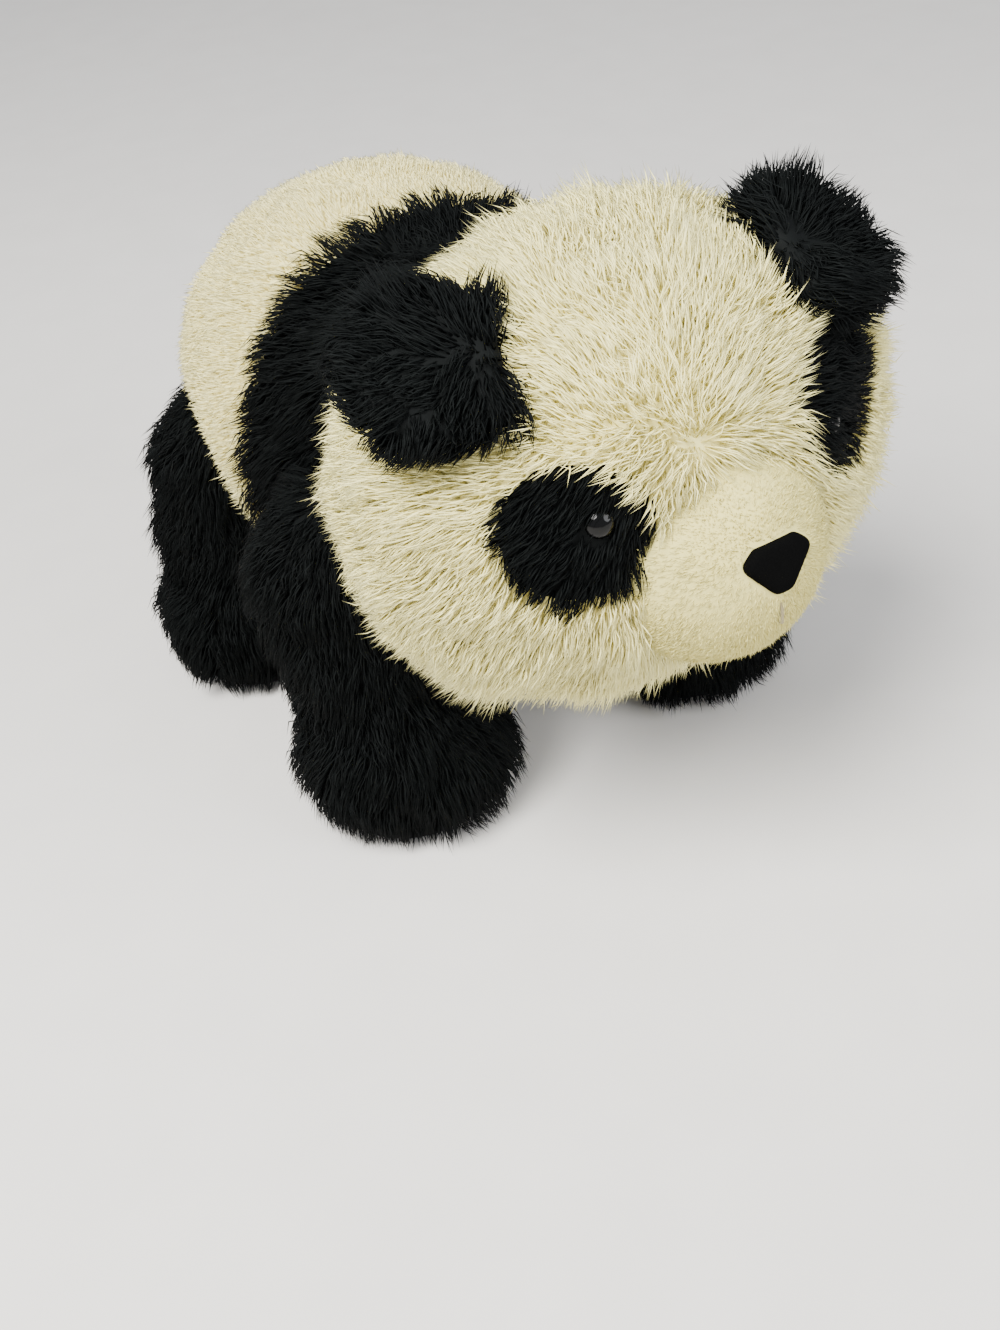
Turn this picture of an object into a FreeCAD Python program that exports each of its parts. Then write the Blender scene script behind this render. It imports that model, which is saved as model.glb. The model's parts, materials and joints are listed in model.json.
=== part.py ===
"""A plush panda standing on four legs: sewn pile panels, stuffing, safety eyes and soles.

Millimetres, +Z up, the face towards -Y and the panda's own left at +X.
The origin lies on the surface it stands on, under the middle of its box.
Each panel is drawn at the middle of its pile, so it is a few millimetres thick.
"""
import FreeCAD
import Part
import Sketcher
import math
import os
import re

# Driving dimensions. "half" sizes run from the middle of a shape to its surface.
DIMENSIONS = {
    # Seams, skins and clearances
    "skin_thick": 4.0,
    "seam_gap": 0.3,
    "joint_gap": 0.8,
    "beyond": 200.0,
    # Torso
    "torso_half_width": 74.0,
    "torso_half_long": 92.0,
    "torso_half_tall": 72.0,
    "torso_mid_y": 55.0,
    "torso_mid_z": 103.0,
    "torso_front_y": -17.0,
    "band_back_y": 33.0,
    "belly_top_z": 74.0,
    "belly_half_width": 26.4,
    "tail_half_width": 13.0,
    "tail_half_long": 13.0,
    "tail_half_tall": 16.0,
    "tail_mid_y": 142.0,
    "tail_mid_z": 86.0,
    # Neck, a ball that the head turns and nods about
    "neck_y": -33.0,
    "neck_z": 118.0,
    "neck_ball": 36.0,
    "neck_opening": 22.0,
    # Head
    "head_half_width": 84.0,
    "head_half_long": 55.0,
    "head_half_tall": 67.0,
    "head_mid_y": -79.0,
    "head_mid_z": 138.0,
    "head_back_y": -47.0,
    "crown_half_width": 34.0,
    "crown_low_z": 146.0,
    "chin_half_width": 34.0,
    "chin_top_z": 100.0,
    # Muzzle and nose
    "muzzle_half_width": 33.0,
    "muzzle_half_long": 34.0,
    "muzzle_half_tall": 33.0,
    "muzzle_mid_y": -119.0,
    "muzzle_mid_z": 127.0,
    "lip_z": 114.0,
    "nose_half_width": 11.0,
    "nose_top": 5.5,
    "nose_shoulder": 1.5,
    "nose_bottom": 8.5,
    "nose_tip_half_width": 2.5,
    "nose_thick": 6.0,
    "nose_edge": 1.8,
    "nose_y": -150.0,
    "nose_z": 137.0,
    "nose_tilt": 18.0,
    "stitch_thick": 0.7,
    "stitch_long": 7.0,
    "stitch_y": -153.4,
    "stitch_z": 125.5,
    # Eyes and their patches
    "patch_radius_left": 19.0,
    "patch_radius_right": 19.5,
    "patch_x": 42.0,
    "patch_z_left": 159.0,
    "patch_z_right": 149.5,
    "eye_x": 38.0,
    "eye_z": 152.5,
    "eye_sunk": 2.4,
    "eye_dome": 4.6,
    "eye_dome_cut": 35.0,
    "eye_shank": 1.6,
    "eye_shank_long": 13.0,
    "washer_radius": 8.0,
    "washer_thick": 1.6,
    "washer_depth": 7.5,
    "shank_clearance": 0.15,
    # Ears
    "ear_radius": 21.0,
    "ear_rise": 13.0,
    "ear_leaf": 4.2,
    "ear_root": 4.8,
    "ear_groove": 6.0,
    "ear_lift": 4.4,
    "ear_x_left": 39.0,
    "ear_x_right": 49.0,
    "ear_y_left": -101.0,
    "ear_y_right": -96.0,
    "ear_sweep_right": 20.0,
    "ear_sweep_left": 0.0,
    "ear_rim": 3.0,
    "ear_flop_right": 68.0,
    "ear_flop_left": 86.0,
    # Front legs, given on the left side
    "front_hip_x": 58.0,
    "front_hip_y": -10.0,
    "front_hip_z": 85.0,
    "front_hip_radius": 31.0,
    "front_ankle_x": 60.0,
    "front_ankle_y": -22.0,
    "front_ankle_z": 34.0,
    "front_ankle_radius": 28.0,
    "front_foot_x": 60.0,
    "front_foot_y": -28.0,
    "front_foot_z": 22.0,
    "front_foot_half_width": 33.5,
    "front_foot_half_long": 35.0,
    "front_foot_half_tall": 30.0,
    # Hind legs, given on the left side
    "hind_hip_x": 55.0,
    "hind_hip_y": 85.0,
    "hind_hip_z": 78.0,
    "hind_hip_radius": 31.0,
    "hind_ankle_x": 63.0,
    "hind_ankle_y": 84.0,
    "hind_ankle_z": 32.0,
    "hind_ankle_radius": 28.0,
    "hind_foot_x": 70.0,
    "hind_foot_y": 80.0,
    "hind_foot_z": 20.0,
    "hind_foot_half_width": 29.0,
    "hind_foot_half_long": 34.0,
    "hind_foot_half_tall": 28.0,
    # Soles and the room that the legs need to swing
    "sole_thick": 4.0,
    "sole_edge": 1.5,
    "sole_inset": 5.0,
    "swing_angle": 16.0,
    "room_depth": 95.0,
}

X_AXIS = FreeCAD.Vector(1, 0, 0)
Y_AXIS = FreeCAD.Vector(0, 1, 0)
Z_AXIS = FreeCAD.Vector(0, 0, 1)

doc = FreeCAD.newDocument("plush_panda")
sheet = doc.addObject("Spreadsheet::Sheet", "Sizes")
pieces = []


def fill_sheet():
    """Write every driving dimension into the sheet, its alias in the first column."""
    for row, (alias, number) in enumerate(DIMENSIONS.items(), start=1):
        sheet.set("A%d" % row, alias)
        sheet.set("B%d" % row, str(number))
        sheet.setAlias("B%d" % row, alias)
    doc.recompute()


def size(alias):
    """The number that the sheet holds under an alias."""
    return float(sheet.get(alias))


def point(x, y, z):
    """A point from three aliases."""
    return FreeCAD.Vector(size(x), size(y), size(z))


def bind(thing, prop, formula):
    """Drive a property by a formula written with the sheet's aliases."""
    def cell(match):
        word = match.group(0)
        return "Sizes." + word if word in DIMENSIONS else word
    thing.setExpression(prop, re.sub(r"[a-z_]+", cell, formula))


def put(thing, x, y, z):
    """Bind where a thing stands to three formulas."""
    for axis, formula in zip("xyz", (x, y, z)):
        bind(thing, ".Placement.Base." + axis, formula)
    return thing


# Primitives and booleans

def ellipsoid(name, wide, long, tall, at):
    thing = doc.addObject("Part::Ellipsoid", name)
    bind(thing, "Radius1", tall)
    bind(thing, "Radius2", wide)
    bind(thing, "Radius3", long)
    return put(thing, *at)


def ball(name, radius, at):
    thing = doc.addObject("Part::Sphere", name)
    bind(thing, "Radius", radius)
    return put(thing, *at)


def rod(name, radius, length):
    """A cylinder along +Z from its own origin; the caller places it."""
    thing = doc.addObject("Part::Cylinder", name)
    bind(thing, "Radius", radius)
    bind(thing, "Height", length)
    return thing


def block(name, low, high):
    """A box between two corners, each three formulas."""
    thing = doc.addObject("Part::Box", name)
    for prop, start, end in zip(("Length", "Width", "Height"), low, high):
        bind(thing, prop, "(%s) - (%s)" % (end, start))
    return put(thing, *low)


def cut(name, base, *tools):
    for index, tool in enumerate(tools):
        last = index == len(tools) - 1
        trimmed = doc.addObject("Part::Cut", name if last else name + "_trim")
        trimmed.Base = base
        trimmed.Tool = tool
        base = trimmed
    return base


def common(name, base, tool):
    thing = doc.addObject("Part::Common", name)
    thing.Base = base
    thing.Tool = tool
    return thing


def fuse(name, *parts):
    thing = doc.addObject("Part::MultiFuse", name)
    thing.Shapes = list(parts)
    return thing


def mirrored(name, source):
    """The same thing on the other side of the panda's middle plane."""
    thing = doc.addObject("Part::Mirroring", name)
    thing.Source = source
    thing.Normal = X_AXIS
    return thing


def piece(label, thing):
    """Keep a thing as a finished sub-part under its own name."""
    thing.Label = label
    pieces.append(thing)
    return thing


def pair(label, left):
    """Keep a left piece and its mirror image as the right one."""
    piece(label + "_left", left)
    piece(label + "_right", mirrored(label + "_mirror", left))


# PartDesign bodies

def origin_plane(body, role):
    return next(f for f in body.Origin.OriginFeatures if f.Role == role)


def sketch_on(body, role, name):
    drawing = body.newObject("Sketcher::SketchObject", name)
    drawing.AttachmentSupport = (origin_plane(body, role), [""])
    drawing.MapMode = "FlatFace"
    return drawing


def hold(drawing, kind, refs, formula):
    """Add a driving constraint to a sketch and bind its value."""
    number = drawing.addConstraint(Sketcher.Constraint(kind, *refs))
    bind(drawing, "Constraints[%d]" % number, formula)


def outline(drawing, corners):
    """Draw a closed outline through corners, each (x, x formula, y, y formula)."""
    flat = [FreeCAD.Vector(x, y, 0) for x, _, y, _ in corners]
    count = len(flat)
    for index in range(count):
        drawing.addGeometry(Part.LineSegment(flat[index], flat[(index + 1) % count]))
    for index in range(count):
        joined = Sketcher.Constraint("Coincident", index, 2, (index + 1) % count, 1)
        drawing.addConstraint(joined)
    for index, (x, across, y, along) in enumerate(corners):
        hold(drawing, "DistanceX", (-1, 1, index, 1, x), across)
        hold(drawing, "DistanceY", (-1, 1, index, 1, y), along)


def pad(body, drawing, name, length, reverse=False):
    feature = body.newObject("PartDesign::Pad", name)
    feature.Profile = drawing
    bind(feature, "Length", length)
    feature.Reversed = reverse
    return feature


# Torso

def leg_room(kind):
    """The pocket in the torso's side that a leg's round top turns and swings in."""
    hip = point(kind + "_hip_x", kind + "_hip_y", kind + "_hip_z")
    radius = "%s_hip_radius + joint_gap" % kind
    inner = "%s_hip_x - %s_hip_radius - joint_gap" % (kind, kind)
    inner_x = hip.x - size(kind + "_hip_radius") - size("joint_gap")
    half = size(kind + "_hip_radius") + size("joint_gap")
    top = rod(kind + "_room_top", radius, "beyond - (%s)" % inner)
    turn = FreeCAD.Rotation(Y_AXIS, 90)
    top.Placement = FreeCAD.Placement(FreeCAD.Vector(inner_x, hip.y, hip.z), turn)
    ways = [top]
    for sign in (-1, 1):
        way = block(kind + "_room_way", ("0", "0", "0"), ("beyond", "2 * (%s)" % radius, "room_depth"))
        for axis in "xyz":
            way.setExpression(".Placement.Base." + axis, None)
        corner = FreeCAD.Placement(FreeCAD.Vector(0, -half, -size("room_depth")), FreeCAD.Rotation())
        swing = FreeCAD.Rotation(X_AXIS, sign * size("swing_angle"))
        way.Placement = FreeCAD.Placement(FreeCAD.Vector(inner_x, hip.y, hip.z), swing) * corner
        ways.append(way)
    return fuse(kind + "_room", *ways)


def torso_openings():
    """Everything the torso leaves free: four leg pockets, the neck socket and its front."""
    rooms = [leg_room("front"), leg_room("hind")]
    rooms += [mirrored(room.Name + "_mirror", room) for room in list(rooms)]
    socket = neck_socket("torso_socket")
    ahead = block("torso_ahead", ("-beyond", "-beyond", "0"), ("beyond", "torso_front_y", "beyond"))
    return [socket, ahead] + rooms


def torso_form(name, inset):
    halves = ["torso_half_%s - (%s)" % (way, inset) for way in ("width", "long", "tall")]
    return ellipsoid(name, *halves, ("0", "torso_mid_y", "torso_mid_z"))


def make_torso():
    """Two back panels, two shoulder bands, a chest and a belly strip around one stuffing."""
    openings = torso_openings()
    outer = torso_form("torso_outer", "0")
    inner = torso_form("torso_inner", "skin_thick")
    cover = cut("torso_cover", outer, inner, *openings)
    half = "seam_gap / 2"
    strip = block("strip_seam", ("-belly_half_width - " + half, "-beyond", "0"),
                  ("belly_half_width + " + half, "beyond", "belly_top_z + " + half))
    back = ("band_back_y + " + half, "beyond")
    front = ("-beyond", "band_back_y - " + half)
    for label, (start, end) in (("back_panel", back), ("shoulder_panel", front)):
        region = block(label + "_region", (half, start, "0"), ("beyond", end, "beyond"))
        pair(label, cut(label, common(label + "_blank", cover, region), strip))
    for label, (start, end) in (("belly_panel", back), ("chest_panel", front)):
        low = ("-belly_half_width + " + half, start, "0")
        high = ("belly_half_width - " + half, end, "belly_top_z - " + half)
        piece(label, common(label, cover, block(label + "_region", low, high)))
    filling = torso_form("torso_filling", "skin_thick + seam_gap")
    piece("torso_stuffing", cut("torso_stuffing", filling, *openings))
    clear = torso_form("tail_seat", "-seam_gap")
    stub = ellipsoid("tail_stub", "tail_half_width", "tail_half_long", "tail_half_tall",
                     ("0", "tail_mid_y", "tail_mid_z"))
    piece("tail", cut("tail", stub, clear))


# Neck

def make_neck():
    """A stuffed ball in a round sleeve, shared by the torso's and the head's sockets."""
    middle = ("0", "neck_y", "neck_z")
    outer = ball("neck_outer", "neck_ball", middle)
    inner = ball("neck_inner", "neck_ball - skin_thick", middle)
    bore = rod("neck_bore", "neck_opening", "2 * beyond")
    start = FreeCAD.Vector(0, size("neck_y") - size("beyond"), size("neck_z"))
    bore.Placement = FreeCAD.Placement(start, FreeCAD.Rotation(X_AXIS, -90))
    piece("neck_sleeve", cut("neck_sleeve", outer, inner, bore))
    filling = ball("neck_filling", "neck_ball - skin_thick - seam_gap", middle)
    piece("neck_stuffing", filling)


# Head

def head_form(name, inset):
    halves = ["head_half_%s - (%s)" % (way, inset) for way in ("width", "long", "tall")]
    return ellipsoid(name, *halves, ("0", "head_mid_y", "head_mid_z"))


def muzzle_form(name, inset):
    halves = ["muzzle_half_%s - (%s)" % (way, inset) for way in ("width", "long", "tall")]
    return ellipsoid(name, *halves, ("0", "muzzle_mid_y", "muzzle_mid_z"))


def head_surface(x, y):
    """The top point of the head's surface over (x, y), and its outward normal."""
    wide, deep, tall = (size("head_half_" + way) for way in ("width", "long", "tall"))
    ahead = y - size("head_mid_y")
    rise = tall * (1 - (x / wide) ** 2 - (ahead / deep) ** 2) ** 0.5
    normal = FreeCAD.Vector(x / wide ** 2, ahead / deep ** 2, rise / tall ** 2)
    return FreeCAD.Vector(x, y, size("head_mid_z") + rise), normal.normalize()


def face_point(x, z):
    """The point of the head's front surface at (x, z), and its outward normal."""
    wide, deep, tall = (size("head_half_" + way) for way in ("width", "long", "tall"))
    up = z - size("head_mid_z")
    ahead = deep * (1 - (x / wide) ** 2 - (up / tall) ** 2) ** 0.5
    normal = FreeCAD.Vector(x / wide ** 2, -ahead / deep ** 2, up / tall ** 2)
    return FreeCAD.Vector(x, size("head_mid_y") - ahead, z), normal.normalize()


def eye_seat():
    """Where the left eye sits: its +Z points out of the face."""
    at, normal = face_point(size("eye_x"), size("eye_z"))
    turn = FreeCAD.Rotation(Z_AXIS, normal)
    return FreeCAD.Placement(at - normal * size("eye_sunk"), turn)


def shifted(seat, along):
    """A placement moved along its own Z."""
    return seat * FreeCAD.Placement(Z_AXIS * along, FreeCAD.Rotation())


def eye_passage():
    """The left eye's way in: a hole for the shank and a pocket for its washer."""
    seat = eye_seat()
    hole = rod("eye_hole", "eye_shank + shank_clearance", "eye_shank_long + 1 + eye_dome")
    hole.Placement = shifted(seat, -size("eye_shank_long") - 1)
    pocket = rod("washer_pocket", "washer_radius + seam_gap", "washer_thick + 2 * seam_gap")
    pocket.Placement = shifted(seat, -size("washer_depth") - size("seam_gap"))
    return fuse("eye_passage", hole, pocket)


def make_eyes():
    """One-piece safety eyes, a dome on a smooth shank, each held by a pressed washer."""
    seat = eye_seat()
    dome = doc.addObject("Part::Sphere", "eye_dome")
    bind(dome, "Radius", "eye_dome")
    bind(dome, "Angle1", "eye_dome_cut")
    dome.Placement = seat
    shank = rod("eye_stem", "eye_shank", "eye_shank_long + 0.8 * eye_dome")
    shank.Placement = shifted(seat, -size("eye_shank_long"))
    pair("eye", fuse("eye_left", dome, shank))
    disc = rod("washer_disc", "washer_radius", "washer_thick")
    disc.Placement = shifted(seat, -size("washer_depth"))
    bore = rod("washer_bore", "eye_shank + shank_clearance", "3 * washer_thick")
    bore.Placement = shifted(seat, -size("washer_depth") - size("washer_thick"))
    pair("eye_washer", cut("eye_washer_left", disc, bore))


def neck_socket(name):
    return ball(name, "neck_ball + joint_gap", ("0", "neck_y", "neck_z"))


def head_back(name):
    """The block behind the head, cut away where the neck joins."""
    return block(name, ("-beyond", "head_back_y", "0"), ("beyond", "beyond", "2 * beyond"))


def patch_region(name, side, grow):
    """The round region of an eye patch, seen from the front; the left one is brushed higher."""
    region = rod(name, "patch_radius_%s + (%s)" % (side, grow), "beyond + head_mid_y")
    region.Placement = FreeCAD.Placement(FreeCAD.Vector(), FreeCAD.Rotation(X_AXIS, -90))
    across = "patch_x" if side == "left" else "-patch_x"
    return put(region, across, "-beyond", "patch_z_" + side)


def both_sides(label, blank, region):
    """Keep the parts of a blank inside a region on the left and inside its mirror image."""
    piece(label + "_left", common(label, blank, region))
    other = mirrored(label + "_other_region", region)
    piece(label + "_right", common(label + "_other", blank, other))


def make_head_panels(cover):
    """Crown halves, cheeks, eye patches and chin, cut from the head's cover."""
    half = "seam_gap / 2"
    around = []
    for side in ("left", "right"):
        region = patch_region("patch_region_" + side, side, "0")
        piece("eye_patch_" + side, common("eye_patch_" + side, cover, region))
        around.append(patch_region("patch_seam_" + side, side, "seam_gap"))
    blank = cut("panel_blank", cover, *around)
    crown = block("crown_region", (half, "-beyond", "crown_low_z + " + half),
                  ("crown_half_width - " + half, "beyond", "2 * beyond"))
    both_sides("crown_panel", blank, crown)
    side = block("head_side", (half, "-beyond", "0"), ("beyond", "beyond", "2 * beyond"))
    above = block("cheek_above", ("-beyond", "-beyond", "crown_low_z - " + half),
                  ("crown_half_width + " + half, "beyond", "2 * beyond"))
    below = block("cheek_below", ("-beyond", "-beyond", "0"),
                  ("chin_half_width + " + half, "beyond", "chin_top_z + " + half))
    both_sides("cheek_panel", blank, cut("cheek_region", side, above, below))
    chin = block("chin_region", ("-chin_half_width + " + half, "-beyond", "0"),
                 ("chin_half_width - " + half, "beyond", "chin_top_z - " + half))
    piece("chin_panel", common("chin_panel", cover, chin))


def make_head():
    """The head's cover and stuffing, open to the neck, the muzzle, the ears and the eyes."""
    passages = [eye_passage()]
    passages.append(mirrored("eye_passage_mirror", passages[0]))
    muzzle_seat = muzzle_form("muzzle_seat", "-seam_gap")
    grooves = [ear_groove(side) for side in ("left", "right")]
    open_back = fuse("head_openings", head_back("head_behind"), neck_socket("head_socket"), *passages)
    outer = head_form("head_outer", "0")
    inner = head_form("head_inner", "skin_thick")
    cover = cut("head_cover", outer, inner, open_back, muzzle_seat, *grooves)
    make_head_panels(cover)
    filling = head_form("head_filling", "skin_thick + seam_gap")
    piece("head_stuffing", cut("head_stuffing", filling, open_back))


def make_muzzle():
    """A short-pile muzzle in an upper and a lower piece, with its own stuffing."""
    outer = muzzle_form("muzzle_outer", "0")
    inner = muzzle_form("muzzle_inner", "skin_thick")
    head_bed = head_form("muzzle_bed", "skin_thick")
    cover = cut("muzzle_cover", outer, inner, head_bed)
    half = "seam_gap / 2"
    upper = block("upper_region", ("-beyond", "-beyond", "lip_z + " + half),
                  ("beyond", "beyond", "2 * beyond"))
    lower = block("lower_region", ("-beyond", "-beyond", "0"), ("beyond", "beyond", "lip_z - " + half))
    piece("muzzle_top", common("muzzle_top", cover, upper))
    piece("muzzle_underside", common("muzzle_underside", cover, lower))
    filling = muzzle_form("muzzle_filling", "skin_thick + seam_gap")
    piece("muzzle_stuffing", cut("muzzle_stuffing", filling, head_bed))


def nose_corners():
    """The nose's outline from the middle of its top edge, each corner by its formulas."""
    half = size("nose_half_width")
    tip = size("nose_tip_half_width")
    top = size("nose_top")
    shoulder = size("nose_shoulder")
    low = -size("nose_bottom")
    right = [(half * 0.6, "0.6 * nose_half_width", top, "nose_top"),
             (half, "nose_half_width", shoulder, "nose_shoulder"),
             (tip, "nose_tip_half_width", low, "-nose_bottom")]
    left = [(-x, "-(%s)" % across, y, along) for x, across, y, along in reversed(right)]
    return right + left


def make_nose():
    """A velvet nose pad with rounded edges, seated on the muzzle, and a stitch under it."""
    body = doc.addObject("PartDesign::Body", "nose_body")
    drawing = sketch_on(body, "XY_Plane", "nose_outline")
    outline(drawing, nose_corners())
    block_of_nose = pad(body, drawing, "nose_pad", "nose_thick")
    doc.recompute()
    rounded = body.newObject("PartDesign::Fillet", "nose_round")
    front = [name for name, edge in edge_names(block_of_nose) if lowest_z(edge) > 0.1]
    upright = [name for name, edge in edge_names(block_of_nose) if is_upright(edge)]
    rounded.Base = (block_of_nose, sorted(set(front + upright)))
    bind(rounded, "Radius", "nose_edge")
    lean = FreeCAD.Rotation(X_AXIS, 90 - size("nose_tilt"))
    body.Placement = FreeCAD.Placement(FreeCAD.Vector(0, size("nose_y"), size("nose_z")), lean)
    into = FreeCAD.Placement(-Z_AXIS * (size("nose_thick") / 2), FreeCAD.Rotation())
    body.Placement = body.Placement * into
    piece("nose", cut("nose", body, muzzle_form("nose_bed", "-seam_gap / 2")))
    stitch = rod("stitch_bar", "stitch_thick", "stitch_long")
    put(stitch, "0", "stitch_y", "stitch_z - stitch_long")
    piece("mouth_stitch", cut("mouth_stitch", stitch, muzzle_form("stitch_bed", "-seam_gap / 2")))


def edge_names(feature):
    return [("Edge%d" % (i + 1), edge) for i, edge in enumerate(feature.Shape.Edges)]


def lowest_z(edge):
    return min(vertex.Z for vertex in edge.Vertexes)


def is_upright(edge):
    ends = [vertex.Point for vertex in edge.Vertexes]
    return len(ends) == 2 and (ends[1] - ends[0]).normalize().isParallel(Z_AXIS, 0.01)


# Ears

def ear_seat(side):
    """Where an ear is sewn: its X runs along the seam, its Y up the ear, its Z out of its front."""
    sign = 1 if side == "left" else -1
    at, normal = head_surface(sign * size("ear_x_" + side), size("ear_y_" + side))
    outward = (X_AXIS * sign - normal * (normal.x * sign)).normalize()
    sweep = FreeCAD.Rotation(normal, sign * size("ear_sweep_" + side))
    outward = sweep.multVec(outward)
    flop = math.radians(size("ear_flop_" + side))
    up = normal * math.cos(flop) + outward * math.sin(flop)
    front = normal * math.sin(flop) - outward * math.cos(flop)
    turn = FreeCAD.Rotation(up.cross(front), up, front, "XYZ")
    return FreeCAD.Placement(at + normal * size("ear_lift"), turn)


def ear_groove(side):
    """The groove in the head's cover that an ear's rolled root turns in."""
    groove = rod("ear_groove_" + side, "ear_groove", "2 * ear_radius")
    back = FreeCAD.Placement(-X_AXIS * size("ear_radius"), FreeCAD.Rotation(Y_AXIS, 90))
    groove.Placement = ear_seat(side) * back
    return groove


def ear_leaf(name, reverse):
    """One leaf of an ear: a round outline cut straight along the root, with a soft rim."""
    body = doc.addObject("PartDesign::Body", name)
    drawing = sketch_on(body, "XY_Plane", name + "_outline")
    radius = size("ear_radius")
    rise = size("ear_rise")
    half = (radius ** 2 - rise ** 2) ** 0.5
    middle = FreeCAD.Vector(0, rise, 0)
    start = math.atan2(-rise, half)
    drawing.addGeometry(Part.ArcOfCircle(Part.Circle(middle, Z_AXIS, radius), start, math.pi - start))
    drawing.addGeometry(Part.LineSegment(FreeCAD.Vector(-half, 0, 0), FreeCAD.Vector(half, 0, 0)))
    drawing.addConstraint(Sketcher.Constraint("Coincident", 0, 2, 1, 1))
    drawing.addConstraint(Sketcher.Constraint("Coincident", 0, 1, 1, 2))
    drawing.addConstraint(Sketcher.Constraint("PointOnObject", 1, 1, -1))
    drawing.addConstraint(Sketcher.Constraint("PointOnObject", 1, 2, -1))
    drawing.addConstraint(Sketcher.Constraint("PointOnObject", 0, 3, -2))
    hold(drawing, "Radius", (0, radius), "ear_radius")
    hold(drawing, "DistanceY", (-1, 1, 0, 3, rise), "ear_rise")
    leaf = pad(body, drawing, name + "_pad", "ear_leaf", reverse)
    doc.recompute()
    far = -size("ear_leaf") if reverse else size("ear_leaf")
    rim = [n for n, e in edge_names(leaf) if abs(lowest_z(e) - far) < 0.01 and e.Length > 2 * radius]
    soft = body.newObject("PartDesign::Fillet", name + "_rim")
    soft.Base = (leaf, rim)
    bind(soft, "Radius", "ear_rim")
    return body


def make_ear(side):
    """A front and a back leaf, the back one ending in the rolled root that the seam holds."""
    seat = ear_seat(side)
    half_gap = FreeCAD.Placement(Z_AXIS * (size("seam_gap") / 2), FreeCAD.Rotation())
    front = ear_leaf("ear_front_leaf_" + side, False)
    front.Placement = seat * half_gap
    back = ear_leaf("ear_back_leaf_" + side, True)
    back.Placement = seat * half_gap.inverse()
    length = 2 * (size("ear_radius") ** 2 - size("ear_rise") ** 2) ** 0.5
    along = FreeCAD.Placement(-X_AXIS * (length / 2), FreeCAD.Rotation(Y_AXIS, 90))
    chord = "2 * sqrt(ear_radius ^ 2 - ear_rise ^ 2)"
    root = rod("ear_root_" + side, "ear_root", chord)
    root.Placement = seat * along
    room = rod("ear_root_room_" + side, "ear_root + seam_gap", chord)
    room.Placement = seat * along
    piece("ear_front_" + side, cut("ear_front_" + side, front, room))
    piece("ear_back_" + side, fuse("ear_back_" + side, back, root))


# Legs

def leg_form(kind, name, inset):
    """A leg's round top, its tapering shank and its paw, drawn in by an inset."""
    hip = tuple("%s_hip_%s" % (kind, axis) for axis in "xyz")
    foot = tuple("%s_foot_%s" % (kind, axis) for axis in "xyz")
    top = ball(name + "_top", "%s_hip_radius - (%s)" % (kind, inset), hip)
    shank = doc.addObject("Part::Cone", name + "_shank")
    bind(shank, "Radius1", "%s_ankle_radius - (%s)" % (kind, inset))
    bind(shank, "Radius2", "%s_hip_radius - (%s)" % (kind, inset))
    spans = ["(%s_hip_%s - %s_ankle_%s) ^ 2" % (kind, axis, kind, axis) for axis in "xyz"]
    bind(shank, "Height", "sqrt(%s)" % " + ".join(spans))
    ankle_at = point(*(kind + "_ankle_" + axis for axis in "xyz"))
    lean = FreeCAD.Rotation(Z_AXIS, point(*hip) - ankle_at)
    shank.Placement = FreeCAD.Placement(ankle_at, lean)
    halves = ["%s_foot_half_%s - (%s)" % (kind, way, inset) for way in ("width", "long", "tall")]
    paw = ellipsoid(name + "_paw", *halves, foot)
    return fuse(name, top, shank, paw)


def make_sole(kind):
    """The flat oval sole with a rounded lower edge."""
    body = doc.addObject("PartDesign::Body", kind + "_sole_body")
    drawing = sketch_on(body, "XY_Plane", kind + "_sole_outline")
    wide = size(kind + "_foot_half_width") - size("sole_inset")
    long = size(kind + "_foot_half_long") - size("sole_inset")
    oval = Part.Ellipse(FreeCAD.Vector(0, long, 0), FreeCAD.Vector(wide, 0, 0), FreeCAD.Vector())
    drawing.addGeometry(oval)
    slab = pad(body, drawing, kind + "_sole_pad", "sole_thick")
    doc.recompute()
    lower = [name for name, edge in edge_names(slab) if edge.BoundBox.ZMax < 0.01]
    soft = body.newObject("PartDesign::Fillet", kind + "_sole_edge")
    soft.Base = (slab, lower)
    bind(soft, "Radius", "sole_edge")
    put(body, kind + "_foot_x", kind + "_foot_y", "0")
    return body


def make_leg(kind):
    """Outer and inner panels and stuffing over a sole, made on the left and mirrored."""
    outer = leg_form(kind, kind + "_leg_outer", "0")
    inner = leg_form(kind, kind + "_leg_inner", "skin_thick")
    filling = leg_form(kind, kind + "_leg_filling", "skin_thick + seam_gap")
    under = block(kind + "_leg_under", ("-beyond", "-beyond", "-beyond"),
                  ("beyond", "beyond", "sole_thick + seam_gap"))
    cover = cut(kind + "_leg_cover", outer, inner, under)
    seam = kind + "_ankle_x"
    outside = block(kind + "_outside", (seam + " + seam_gap / 2", "-beyond", "0"),
                    ("beyond", "beyond", "beyond"))
    inside = block(kind + "_inside", ("0", "-beyond", "0"), (seam + " - seam_gap / 2", "beyond", "beyond"))
    name = kind + "_leg"
    pair(name + "_outer_panel", common(name + "_outer_panel", cover, outside))
    pair(name + "_inner_panel", common(name + "_inner_panel", cover, inside))
    pair(name + "_stuffing", cut(name + "_stuffing", filling, under))
    pair(kind + "_paw_sole", make_sole(kind))


def check_and_write():
    """Stop if anything failed, then write each sub-part to its own file."""
    doc.recompute()
    for thing in doc.Objects:
        if "Invalid" in thing.State or "Error" in thing.State:
            raise RuntimeError("%s failed: %s" % (thing.Name, thing.State))
    os.makedirs("parts", exist_ok=True)
    for thing in pieces:
        shape = thing.Shape
        if shape.isNull() or not shape.isValid() or not shape.Solids:
            raise RuntimeError("%s has no valid solid" % thing.Label)
        shape.exportStep("parts/%s.step" % thing.Label)


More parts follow.
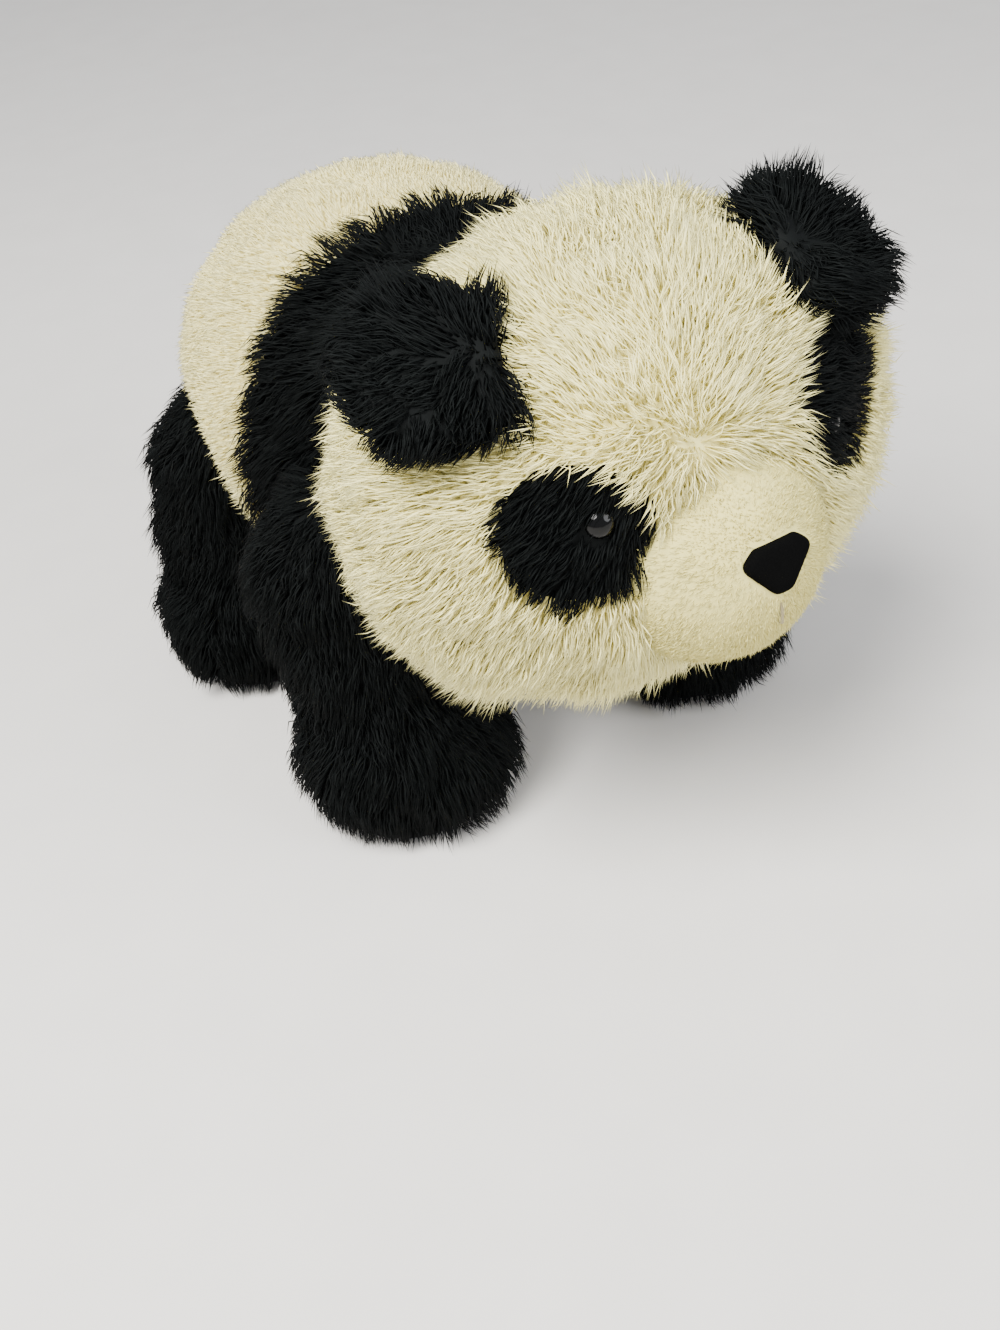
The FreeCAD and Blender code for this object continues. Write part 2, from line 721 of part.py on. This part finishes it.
fill_sheet()
make_torso()
make_neck()
make_head()
make_muzzle()
make_nose()
make_eyes()
for ear_side in ("left", "right"):
    make_ear(ear_side)
for leg_kind in ("front", "hind"):
    make_leg(leg_kind)
check_and_write()
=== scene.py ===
"""The plush panda's looks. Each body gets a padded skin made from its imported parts, and its pile grows on that skin."""

import json
import math

import bmesh
import bpy
import numpy as np
from mathutils import Matrix, Vector, kdtree, noise
from mathutils.bvhtree import BVHTree


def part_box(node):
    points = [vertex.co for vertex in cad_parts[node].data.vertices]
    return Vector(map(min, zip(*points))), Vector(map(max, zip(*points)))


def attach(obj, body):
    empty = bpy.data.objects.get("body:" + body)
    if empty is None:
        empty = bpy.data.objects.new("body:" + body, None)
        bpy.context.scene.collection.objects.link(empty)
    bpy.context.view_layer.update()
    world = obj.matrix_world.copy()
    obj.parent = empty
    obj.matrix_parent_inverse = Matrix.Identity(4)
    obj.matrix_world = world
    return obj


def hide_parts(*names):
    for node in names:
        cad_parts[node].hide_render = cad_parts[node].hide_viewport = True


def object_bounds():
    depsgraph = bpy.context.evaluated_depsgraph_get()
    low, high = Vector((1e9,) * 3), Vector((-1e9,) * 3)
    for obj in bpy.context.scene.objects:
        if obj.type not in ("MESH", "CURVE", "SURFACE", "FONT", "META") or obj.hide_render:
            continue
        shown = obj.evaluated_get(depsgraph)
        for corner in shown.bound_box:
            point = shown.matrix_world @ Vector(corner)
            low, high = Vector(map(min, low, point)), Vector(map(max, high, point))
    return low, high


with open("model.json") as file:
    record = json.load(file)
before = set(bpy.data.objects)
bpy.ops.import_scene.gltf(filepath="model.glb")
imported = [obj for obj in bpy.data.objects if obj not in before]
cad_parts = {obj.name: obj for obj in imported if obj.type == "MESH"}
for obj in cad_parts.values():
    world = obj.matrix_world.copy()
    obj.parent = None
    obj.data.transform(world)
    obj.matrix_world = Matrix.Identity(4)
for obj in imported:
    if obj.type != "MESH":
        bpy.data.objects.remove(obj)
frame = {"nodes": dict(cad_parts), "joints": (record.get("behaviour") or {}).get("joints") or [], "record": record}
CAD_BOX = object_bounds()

NODES = frame["nodes"]
BODIES = frame["record"]["behaviour"]["bodies"]
UP = np.array([0.0, 0.0, 1.0])
STANDS = CAD_BOX[0].z + 0.0004  # the middle of a hair comes no lower than this

# Skins, in metres.
VOXEL = 0.0022  # the cell a skin is remeshed with
PUFF = 0.0006  # how far each part grows before its neighbours are joined to it
SMOOTH_TURNS = 14
LUMP_HEIGHT = 0.0022  # how far the stuffing pushes the cloth in and out
LUMP_WIDTH = 0.035
HEAD_DEPTH = 0.110  # the padded head, nape included
PANEL_REACH = 0.06  # how far a skin may lie from the panel it belongs to
HIDDEN_DEPTH = 0.0035  # pile rooted this deep in another part is left out

# What each pile is like. Lengths in metres; lift is how steeply a hair leaves the cloth, from 0, flat, to 1.
COATS = {
    "cream_long_pile": dict(length=0.0125, spacing=0.00110, width=0.00052, lift=0.70, droop=0.22,
                            clump=0.0050, gather=0.45, jitter=0.26, bends=2),
    "cream_short_pile": dict(length=0.0068, spacing=0.00125, width=0.00048, lift=0.80, droop=0.10,
                             clump=0.0050, gather=0.35, jitter=0.22, bends=2),
    "black_long_pile": dict(length=0.0135, spacing=0.00130, width=0.00062, lift=0.55, droop=0.35,
                            clump=0.0080, gather=0.60, jitter=0.22, bends=2),
    "muzzle_pile": dict(length=0.0028, spacing=0.00075, width=0.00034, lift=0.60, droop=0.05,
                        clump=0.0040, gather=0.20, jitter=0.30, bends=2),
}
PATCH_COAT = dict(COATS["black_long_pile"], length=0.0090, spacing=0.00110, width=0.00055, clump=0.0065)
EAR_COAT = dict(COATS["black_long_pile"], length=0.0105, spacing=0.00110, width=0.00055, droop=0.05)
KINK = 0.05  # how far a hair bows, as a share of its length
SPLAY = 0.5  # how far a hair on the ground turns outwards, as a share of what would be under it
FACE_CLEAR = 0.0006  # pile keeps this far from the eyes and nose
SOLE_CLEAR = 0.0030  # and this far from the soles


def numbers(vector):
    return np.array(vector, float)


def middle(*nodes):
    """The middle of these nodes' common box."""
    low, high = common_box(nodes)
    return (low + high) / 2


def common_box(nodes):
    boxes = [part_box(n) for n in nodes]
    low = np.min([numbers(b[0]) for b in boxes], axis=0)
    high = np.max([numbers(b[1]) for b in boxes], axis=0)
    return low, high


def slots_by_node():
    found = {}
    for part in frame["record"]["subparts"]:
        found[part["node"]] = part["material_slot"]
    return found


# ---- skins ----

def puffed(node):
    """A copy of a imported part's mesh, welded and grown a little along its normals."""
    bm = bmesh.new()
    bm.from_mesh(NODES[node].data)
    bmesh.ops.remove_doubles(bm, verts=bm.verts, dist=1e-5)
    bmesh.ops.recalc_face_normals(bm, faces=bm.faces)
    bm.normal_update()
    for vertex in bm.verts:
        vertex.co += vertex.normal * PUFF
    mesh = bpy.data.meshes.new(node + "_puffed")
    bm.to_mesh(mesh)
    bm.free()
    return mesh


def ellipsoid(centre, halves):
    """A closed ellipsoid mesh."""
    bm = bmesh.new()
    bmesh.ops.create_icosphere(bm, subdivisions=5, radius=1)
    place = Matrix.Translation(Vector(centre)) @ Matrix.Diagonal((*halves, 1))
    bm.transform(place)
    mesh = bpy.data.meshes.new("ellipsoid")
    bm.to_mesh(mesh)
    bm.free()
    return mesh


def joined(meshes):
    bm = bmesh.new()
    for mesh in meshes:
        bm.from_mesh(mesh)
    result = bpy.data.meshes.new("joined")
    bm.to_mesh(result)
    bm.free()
    return result


def largest_island(mesh):
    """Drops every loose part of a mesh but the one with the most faces."""
    bm = bmesh.new()
    bm.from_mesh(mesh)
    left = set(bm.faces)
    islands = []
    while left:
        front = [left.pop()]
        island = list(front)
        while front:
            for edge in front.pop().edges:
                for face in edge.link_faces:
                    if face in left:
                        left.remove(face)
                        island.append(face)
                        front.append(face)
        islands.append(island)
    keep = max(islands, key=len)
    for island in islands:
        if island is not keep:
            bmesh.ops.delete(bm, geom=island, context="FACES")
    bmesh.ops.triangulate(bm, faces=bm.faces)
    bm.to_mesh(mesh)
    bm.free()
    return mesh


def remeshed(meshes, voxel, turns):
    """One smooth closed mesh round all of these."""
    thing = bpy.data.objects.new("working", joined(meshes))
    bpy.context.scene.collection.objects.link(thing)
    remesh = thing.modifiers.new("remesh", "REMESH")
    remesh.mode = "VOXEL"
    remesh.voxel_size = voxel
    smooth = thing.modifiers.new("smooth", "SMOOTH")
    smooth.factor = 0.5
    smooth.iterations = turns
    graph = bpy.context.evaluated_depsgraph_get()
    mesh = bpy.data.meshes.new_from_object(thing.evaluated_get(graph))
    bpy.data.objects.remove(thing)
    return largest_island(mesh)


def lumpy(mesh, height=LUMP_HEIGHT):
    """Pushes a skin in and out a little, as stuffing does."""
    for vertex in mesh.vertices:
        bump = noise.noise(vertex.co / LUMP_WIDTH) + 0.4 * noise.noise(vertex.co / (LUMP_WIDTH * 0.4))
        vertex.co += vertex.normal * bump * height
    mesh.update()
    return mesh


class Skin:
    """A triangle mesh as arrays, with a tree for nearest points."""

    def __init__(self, mesh):
        self.points = np.empty((len(mesh.vertices), 3), np.float32)
        mesh.vertices.foreach_get("co", self.points.ravel())
        self.points[:, 2] = np.maximum(self.points[:, 2], CAD_BOX[0].z)
        self.normals = np.empty((len(mesh.vertices), 3), np.float32)
        mesh.vertices.foreach_get("normal", self.normals.ravel())
        self.faces = np.empty((len(mesh.polygons), 3), np.int32)
        mesh.polygons.foreach_get("vertices", self.faces.ravel())
        self.tree = BVHTree.FromPolygons(self.points.tolist(), self.faces.tolist())
        corners = self.points[self.faces]
        cross = np.cross(corners[:, 1] - corners[:, 0], corners[:, 2] - corners[:, 0])
        self.areas = np.linalg.norm(cross, axis=1) / 2
        self.low = self.points.min(axis=0)
        self.high = self.points.max(axis=0)

    def depth(self, point):
        """How far a point is under this skin; below 0 outside it."""
        if (np.array(point) < self.low).any() or (np.array(point) > self.high).any():
            return -1.0
        near, normal, _, gap = self.tree.find_nearest(point)
        return -gap if (point - near).dot(normal) > 0 else gap


def node_tree(node):
    mesh = NODES[node].data
    points = [v.co for v in mesh.vertices]
    return BVHTree.FromPolygons(points, [p.vertices for p in mesh.polygons])


def nearest_panel(skin, panels):
    """For each face of a skin, the number of the panel that lies closest to it."""
    trees = [node_tree(p) for p in panels]
    centres = skin.points[skin.faces].mean(axis=1)
    owner = np.empty(len(centres), np.int32)
    for i, centre in enumerate(centres.tolist()):
        gaps = [tree.find_nearest(centre, PANEL_REACH)[3] for tree in trees]
        owner[i] = int(np.argmin([math.inf if gap is None else gap for gap in gaps]))
    return owner


# ---- pile ----

def scatter(skin, faces, spacing, rng):
    """Roots spread evenly over some faces of a skin: places and normals."""
    areas = skin.areas[faces]
    count = int(areas.sum() / spacing**2 * 4)
    chosen = faces[rng.choice(len(faces), count, p=areas / areas.sum())]
    one = rng.random((count, 1))
    two = rng.random((count, 1))
    flip = one + two > 1
    one = np.where(flip, 1 - one, one)
    two = np.where(flip, 1 - two, two)
    shares = np.concatenate([1 - one - two, one, two], axis=1)[:, :, None]
    roots = (skin.points[skin.faces[chosen]] * shares).sum(axis=1)
    normals = unit((skin.normals[skin.faces[chosen]] * shares).sum(axis=1))
    cells = np.floor(roots / spacing).astype(np.int64)
    _, kept = np.unique(cells, axis=0, return_index=True)
    return roots[kept], normals[kept]


def unit(vectors):
    return vectors / np.maximum(np.linalg.norm(vectors, axis=-1, keepdims=True), 1e-9)


def along_cloth(vectors, normals):
    """The part of each vector that lies in the cloth, at length 1."""
    return unit(vectors - normals * (vectors * normals).sum(axis=1, keepdims=True))


def drift(points, width, seed):
    """A smooth random vector for each point, for strokes and partings left by hands."""
    shift = Vector((seed * 0.37, seed * 0.11, 0))
    return np.array([noise.noise_vector(Vector(p) / width + shift) for p in points.tolist()])


def gathered(lines, roots, coat, rng):
    """Draws the hairs of each tuft together towards their tips."""
    count = max(1, int(len(roots) * (coat["spacing"] / coat["clump"]) ** 2))
    leaders = rng.choice(len(roots), count, replace=False)
    tree = kdtree.KDTree(count)
    for i, leader in enumerate(leaders):
        tree.insert(roots[leader], i)
    tree.balance()
    own = leaders[[tree.find(r)[1] for r in roots.tolist()]]
    share = np.linspace(0, 1, lines.shape[1])[None, :, None]
    apart = (roots - roots[own])[:, None, :] * 0.35
    pull = coat["gather"] * share**1.3 * rng.uniform(0.6, 1.0, (len(roots), 1, 1))
    return lines * (1 - pull) + (lines[own] + apart) * pull


def hair_lines(roots, normals, flow, coat, rng):
    """The middle line of each hair, as an array of hair by step by place."""
    wander = drift(roots, 0.022, 1) * 0.55 + rng.normal(0, coat["jitter"], roots.shape)
    lie = unit(along_cloth(flow, normals) + wander - UP * coat["droop"])
    start = unit(normals * coat["lift"] + lie * (1 - coat["lift"]) + wander * 0.3)
    end = unit(lie + normals * 0.12)
    length = coat["length"] * np.clip(rng.normal(1, 0.18, (len(roots), 1)), 0.5, 1.45)
    length = length * (1 + 0.35 * drift(roots, 0.012, 5)[:, :1])
    steps = np.linspace(0, 1, coat["bends"] + 1)
    lines = [roots - normals * 0.0006 + length * (start * (s - s * s / 2) + end * s * s / 2) for s in steps]
    kink = rng.normal(0, 1, (len(roots), 3)) * length * KINK
    lines = np.stack(lines, axis=1) + kink[:, None, :] * np.sin(steps * math.pi)[None, :, None]
    return splayed(gathered(lines, roots, coat, rng), normals)


def splayed(lines, normals):
    """Hairs that reach the ground turn outwards along it."""
    outwards = normals.copy()
    outwards[:, 2] = 0
    below = np.maximum(STANDS - lines[:, :, 2:], 0)
    lines = lines + unit(outwards)[:, None, :] * below * SPLAY
    lines[:, :, 2] = np.maximum(lines[:, :, 2], STANDS)
    return lines


def hair_mesh(lines, coat, rng):
    """Closed three-sided tapering hairs round their lines: points, faces with four corners, faces with three."""
    count, steps = lines.shape[:2]
    rings = steps - 1
    tangents = unit(np.gradient(lines, axis=1))
    across = unit(np.cross(tangents, unit(rng.normal(0, 1, (count, 1, 3)))))
    beside = np.cross(tangents, across)
    taper = (1 - 0.62 * (np.arange(rings) / rings) ** 1.3)[None, :, None]
    thick = coat["width"] / 2 * rng.uniform(0.7, 1.25, (count, 1, 1)) * taper
    corners = []
    for turn in range(3):
        angle = turn * math.tau / 3
        side = across * math.cos(angle) + beside * math.sin(angle)
        corners.append(lines[:, :rings] + side[:, :rings] * thick)
    body = np.stack(corners, axis=2).reshape(count, rings * 3, 3)
    points = np.concatenate([body, lines[:, -1:]], axis=1)
    first = (np.arange(count) * (rings * 3 + 1))[:, None, None]
    quads = [[r * 3 + k, r * 3 + (k + 1) % 3, r * 3 + 3 + (k + 1) % 3, r * 3 + 3 + k]
             for r in range(rings - 1) for k in range(3)]
    last = (rings - 1) * 3
    tris = [[last + k, last + (k + 1) % 3, rings * 3] for k in range(3)] + [[2, 1, 0]]
    quads = (first + np.array(quads)[None]).reshape(-1, 4)
    tris = (first + np.array(tris)[None]).reshape(-1, 3)
    return points.reshape(-1, 3), quads, tris


def write_mesh(name, points, quads, tris, reach, tint):
    """A mesh with how far along its hair each point is, and each hair's own shade."""
    mesh = bpy.data.meshes.new(name)
    mesh.vertices.add(len(points))
    mesh.vertices.foreach_set("co", points.astype(np.float32).ravel())
    corners = np.concatenate([quads.ravel(), tris.ravel()]).astype(np.int32)
    sizes = np.concatenate([np.full(len(quads), 4), np.full(len(tris), 3)])
    mesh.loops.add(len(corners))
    mesh.loops.foreach_set("vertex_index", corners)
    mesh.polygons.add(len(sizes))
    mesh.polygons.foreach_set("loop_start", (np.cumsum(sizes) - sizes).astype(np.int32))
    mesh.polygons.foreach_set("use_smooth", np.ones(len(sizes), bool))
    mesh.update(calc_edges=True)
    for label, values in (("reach", reach), ("tint", tint)):
        mesh.attributes.new(label, "FLOAT", "POINT").data.foreach_set("value", values.astype(np.float32))
    return mesh


def pile_piece(node, skin, faces, coat, flow, hidden, seed):
    """A panel's cloth with its pile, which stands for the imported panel."""
    rng = np.random.default_rng(seed)
    roots, normals = scatter(skin, faces, coat["spacing"], rng)
    shown = np.array([not hidden(Vector(r)) for r in roots.tolist()])
    roots, normals = roots[shown], normals[shown]
    lines = hair_lines(roots, normals, flow(roots, normals), coat, rng)
    hair, quads, tris = hair_mesh(lines, coat, rng)
    used, cloth = np.unique(skin.faces[faces], return_inverse=True)
    cloth = cloth.reshape(-1, 3) + len(hair)
    points = np.concatenate([hair, skin.points[used]])
    # Reach is 0 at each hair's root and on the cloth under the pile and 1 at the tip; the pile material darkens low
    # reach as painted shade deep in the pile.
    step = np.append(np.repeat(np.arange(coat["bends"]), 3), coat["bends"]) / coat["bends"]
    reach = np.concatenate([np.tile(step, len(roots)), np.zeros(len(used))])
    shade = np.repeat(rng.random(len(roots)), len(step))
    tint = np.concatenate([shade, np.full(len(used), 0.5)])
    mesh = write_mesh(node, points, quads, np.concatenate([tris, cloth]), reach, tint)
    thing = bpy.data.objects.new(node + "_pile", mesh)
    bpy.context.scene.collection.objects.link(thing)
    return thing


# ---- materials ----

def material(name, roughness, sheen=0.0, specular=0.5):
    """A new node material and its shader node."""
    made = bpy.data.materials.new(name)
    made.use_nodes = True
    shader = made.node_tree.nodes["Principled BSDF"]
    shader.inputs["Roughness"].default_value = roughness
    shader.inputs["Sheen Weight"].default_value = sheen
    shader.inputs["Specular IOR Level"].default_value = specular
    return made, shader


def link(tree, source, target):
    tree.links.new(source, target)


def attribute(tree, name):
    node = tree.nodes.new("ShaderNodeAttribute")
    node.attribute_name = name
    return node.outputs["Fac"]


def mixed(tree, factor, low, high, kind="MIX"):
    """A colour mix of two colours or sockets."""
    node = tree.nodes.new("ShaderNodeMix")
    node.data_type = "RGBA"
    node.blend_type = kind
    for value, socket in ((factor, node.inputs[0]), (low, node.inputs[6]), (high, node.inputs[7])):
        if isinstance(value, bpy.types.NodeSocket):
            link(tree, value, socket)
        elif isinstance(value, float):
            socket.default_value = value
        else:
            socket.default_value = (*value, 1)
    return node.outputs[2]


def noise_value(tree, scale, detail=3.0):
    place = tree.nodes.new("ShaderNodeTexCoord")
    texture = tree.nodes.new("ShaderNodeTexNoise")
    texture.inputs["Scale"].default_value = scale
    texture.inputs["Detail"].default_value = detail
    link(tree, place.outputs["Object"], texture.inputs["Vector"])
    return texture.outputs["Fac"]


def pile_material(name, root, tip, stray, roughness=0.9, sheen=0.0, specular=0.1):
    """Pile that lightens from its root to its tip, the darker root being painted shade deep in the pile, with each
    hair its own tone and soft stains between tufts.
    """
    made, shader = material(name, roughness, sheen, specular)
    tree = made.node_tree
    # Darker at the root, lighter at the tip: painted shade deep in the pile, where the hairs shade each other.
    colour = mixed(tree, attribute(tree, "reach"), root, tip)
    colour = mixed(tree, attribute(tree, "tint"), colour, mixed(tree, 0.35, colour, stray))
    colour = mixed(tree, noise_value(tree, 28.0), colour, mixed(tree, 0.35, colour, stray))
    link(tree, colour, shader.inputs["Base Color"])
    return made


def cloth_material(name, low, high, scale, bump, roughness, specular=0.1):
    """Cloth or padding whose shade and surface both follow a fine noise."""
    made, shader = material(name, roughness, 0.0, specular)
    tree = made.node_tree
    grain = noise_value(tree, scale, 6.0)
    link(tree, mixed(tree, grain, low, high), shader.inputs["Base Color"])
    raised = tree.nodes.new("ShaderNodeBump")
    raised.inputs["Strength"].default_value = bump
    raised.inputs["Distance"].default_value = 0.0004
    link(tree, grain, raised.inputs["Height"])
    link(tree, raised.outputs["Normal"], shader.inputs["Normal"])
    return made


# Each pile gets a root colour, darker than its tip as painted shade deep in the pile, a tip colour, and a stray colour
# for hairs and stains of another tone.
MATERIALS = {
    "cream_long_pile": pile_material("cream long pile", (0.80, 0.73, 0.31), (0.87, 0.82, 0.43), (0.84, 0.75, 0.30)),
    "cream_short_pile": pile_material("cream short pile", (0.78, 0.70, 0.32), (0.85, 0.79, 0.43), (0.82, 0.73, 0.32)),
    "black_long_pile": pile_material("black long pile", (0.0012, 0.0015, 0.0016), (0.0038, 0.0048, 0.0048),
                                     (0.0065, 0.0078, 0.0074), 0.7, 0.0, 0.06),
    "muzzle_pile": pile_material("muzzle pile", (0.60, 0.54, 0.20), (0.71, 0.65, 0.28), (0.66, 0.58, 0.20)),
    "nose_velvet": cloth_material("nose velvet", (0.001, 0.001, 0.001), (0.003, 0.003, 0.003), 2600.0, 0.5, 1.0, 0.02),
    "sole_fabric": cloth_material("sole fabric", (0.004, 0.004, 0.005), (0.012, 0.012, 0.013), 1800.0, 0.4, 0.9, 0.1),
    "eye_plastic": cloth_material("eye plastic", (0.001, 0.001, 0.001), (0.002, 0.002, 0.002), 300.0, 0.02, 0.06, 0.2),
    "washer_plastic": cloth_material("washer plastic", (0.55, 0.54, 0.50), (0.66, 0.65, 0.60), 500.0, 0.1, 0.5, 0.4),
    "thread": cloth_material("thread", (0.20, 0.17, 0.10), (0.36, 0.31, 0.18), 2500.0, 0.6, 0.9),
    "stuffing": cloth_material("stuffing", (0.72, 0.72, 0.70), (0.86, 0.86, 0.84), 400.0, 0.9, 0.95),
}


# ---- bodies ----

def away_from(centre):
    """A flow that leads away from a place on every side."""
    return lambda points, normals: points - centre


def towards(direction):
    return lambda points, normals: np.tile(np.array(direction, float), (len(points), 1))


def body_of(node):
    return next(body for body, members in BODIES.items() if node in members)


def panels_of(body):
    """A body's pile-covered panels."""
    covered = [n for n in BODIES[body] if SLOTS[n] in COATS]
    return covered


def skin_nodes(body, muzzle=False):
    """The parts that a skin wraps; the muzzle has a skin of its own."""
    names = [n for n in BODIES[body] if n.startswith("muzzle") == muzzle]
    return [n for n in names if SLOTS[n] not in ("eye_plastic", "washer_plastic", "nose_velvet", "thread")]


def head_meshes(names):
    """The head's parts with a padded nape behind them."""
    low, high = common_box([n for n in names if "panel" in n])
    centre = (low + high) / 2
    centre[1] = low[1] + HEAD_DEPTH / 2
    halves = ((high[0] - low[0]) / 2, HEAD_DEPTH / 2, (high[2] - low[2]) / 2)
    return [puffed(n) for n in names] + [ellipsoid(centre, halves)]


def make_skins():
    """A skin for each body, and one for the muzzle."""
    skins = {}
    for body in BODIES:
        names = skin_nodes(body)
        meshes = head_meshes(names) if body == "head" else [puffed(n) for n in names]
        voxel = VOXEL * 0.6 if body.startswith("ear") else VOXEL
        turns = 4 if body.startswith("ear") else SMOOTH_TURNS
        skins[body] = Skin(lumpy(remeshed(meshes, voxel, turns), LUMP_HEIGHT * (0.3 if body.startswith("ear") else 1)))
    muzzle = [puffed(n) for n in skin_nodes("head", muzzle=True)]
    skins["muzzle"] = Skin(lumpy(remeshed(muzzle, VOXEL * 0.7, 10), LUMP_HEIGHT * 0.3))
    return skins


SLOTS = slots_by_node()
FACE_TREES = [node_tree(n) for n in ("eye_left", "eye_right", "nose")]


def hidden_by(name, skins, soles):
    """A test for roots that other parts cover, or that are too near the eyes and nose."""
    others = [skins[n] for n in skins if n != name]
    trees, clear = (FACE_TREES, FACE_CLEAR) if name in ("head", "muzzle") else (soles, SOLE_CLEAR)

    def hidden(root):
        if any(tree.find_nearest(root, clear)[0] is not None for tree in trees):
            return True
        return any(other.depth(root) > HIDDEN_DEPTH for other in others)

    return hidden


def parting():
    """Where the pile of the head parts: on the brow, just above the muzzle."""
    low, _ = common_box([n for n in BODIES["head"] if "crown" in n])
    _, top = common_box(["muzzle_top"])
    return np.array([-0.008, low[1], top[2] + 0.007])


PARTING = parting()


def flow_for(name, node):
    """Which way the pile of a panel lies."""
    if name == "head":
        return away_from(PARTING)
    if name == "muzzle":
        return away_from(middle("nose"))
    if name.startswith("ear"):
        hinge = next(joint for joint in frame["joints"] if joint["child"] == name)
        return away_from(np.array(hinge["pos_m"]))
    if "leg" in name:
        return towards((0.0, 0.05, -1.0))
    if "shoulder" in node:
        return towards((0.0, 0.7, -0.8))
    if name == "torso" and node != "chest_panel":
        return towards((0.0, 1.0, -0.5))
    return towards((0.0, 0.2, -1.0))


def coat_for(name, node):
    if "patch" in node:
        return PATCH_COAT
    if name.startswith("ear"):
        return EAR_COAT
    return COATS[SLOTS[node]]


def cover(name, body, panels, skins, seed):
    """Grows the pile of one skin, panel by panel."""
    skin = skins[name]
    owner = nearest_panel(skin, panels)
    soles = [node_tree(n) for n in BODIES[body] if "sole" in n]
    hidden = hidden_by(name, skins, soles)
    for i, node in enumerate(panels):
        faces = np.flatnonzero(owner == i)
        coat = coat_for(name, node)
        piece = pile_piece(node, skin, faces, coat, flow_for(name, node), hidden, seed + i)
        piece.data.materials.append(MATERIALS[SLOTS[node]])
        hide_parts(node)
        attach(piece, body)
        print(piece.name, len(piece.data.polygons))


def cover_all():
    skins = make_skins()
    for seed, name in enumerate(skins):
        body = "head" if name == "muzzle" else name
        panels = [n for n in panels_of(body) if n.startswith("muzzle") == (name == "muzzle")]
        cover(name, body, panels, skins, seed * 100)


def finished_piece(node, mesh, suffix):
    """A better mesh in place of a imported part."""
    for polygon in mesh.polygons:
        polygon.use_smooth = True
    mesh.materials.clear()
    mesh.materials.append(MATERIALS[SLOTS[node]])
    thing = bpy.data.objects.new(node + suffix, mesh)
    bpy.context.scene.collection.objects.link(thing)
    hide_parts(node)
    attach(thing, body_of(node))
    return thing


def make_eyes():
    for node in ("eye_left", "eye_right"):
        mesh = remeshed([puffed(node)], 0.0004, 8)
        finished_piece(node, mesh, "_dome")


def make_nose():
    mesh = remeshed([puffed("nose")], 0.0006, 30)
    finished_piece("nose", mesh, "_velvet")


def make_soles():
    for node in (n for n in NODES if "sole" in n):
        mesh = remeshed([puffed(node)], 0.0012, 6)
        mesh.transform(Matrix.Translation(UP * PUFF))
        piece = finished_piece(node, mesh, "_cloth")


def make_stuffing():
    for node in (n for n in NODES if SLOTS[n] == "stuffing"):
        mesh = remeshed([NODES[node].data], 0.004, 2)
        piece = finished_piece(node, lumpy(mesh, -0.0008), "_fill")


def paint_the_rest():
    """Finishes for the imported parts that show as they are."""
    for node in (n for n in NODES if not NODES[n].hide_render):
        NODES[node].data.materials.clear()
        NODES[node].data.materials.append(MATERIALS[SLOTS[node]])


# ---- stage ----

CAMERA_PLACE = (-0.2174, -0.4015, 0.3759)
CAMERA_LOOK = (0.3643, 0.6852, -0.6307)
CAMERA_ROLL = (0.3941, 0.5001, 0.7711)
CAMERA_LENS = 41.95


def make_camera():
    lens = bpy.data.cameras.new("camera")
    lens.lens = CAMERA_LENS
    lens.clip_start = 0.01
    camera = bpy.data.objects.new("camera", lens)
    back = -Vector(CAMERA_LOOK).normalized()
    side = Vector(CAMERA_ROLL).cross(back).normalized()
    up = back.cross(side)
    turn = Matrix((side, up, back)).transposed().to_4x4()
    camera.matrix_world = Matrix.Translation(CAMERA_PLACE) @ turn
    bpy.context.scene.collection.objects.link(camera)
    bpy.context.scene.camera = camera


def area_light(name, place, target, size, power, colour):
    lamp = bpy.data.lights.new(name, "AREA")
    lamp.shape = "DISK"
    lamp.size = size
    lamp.energy = power
    lamp.color = colour
    thing = bpy.data.objects.new(name, lamp)
    thing.location = place
    thing.rotation_euler = (Vector(target) - Vector(place)).to_track_quat("-Z", "Y").to_euler()
    bpy.context.scene.collection.objects.link(thing)


def make_stage():
    """A pale floor with a soft light from the left and above, and a weaker one from the other side."""
    bpy.ops.mesh.primitive_plane_add(size=6, location=(0, 0, CAD_BOX[0].z - 0.0005))
    floor = bpy.context.object
    floor.name = "floor"
    floor.data.materials.append(
        cloth_material("floor", (0.62, 0.60, 0.57), (0.68, 0.66, 0.63), 30.0, 0.05, 0.8))
    area_light("key", (-0.6, -0.3, 1.0), (0, 0, 0.1), 0.7, 42, (1.0, 0.99, 0.96))
    area_light("fill", (0.6, -1.0, 0.7), (0, 0, 0.1), 0.9, 17, (0.97, 0.98, 1.0))
    world = bpy.data.worlds.new("studio")
    world.use_nodes = True
    world.node_tree.nodes["Background"].inputs["Color"].default_value = (0.9, 0.93, 1.0, 1)
    world.node_tree.nodes["Background"].inputs["Strength"].default_value = 0.75
    bpy.context.scene.world = world


cover_all()
make_eyes()
make_nose()
make_soles()
make_stuffing()
paint_the_rest()
make_camera()
make_stage()
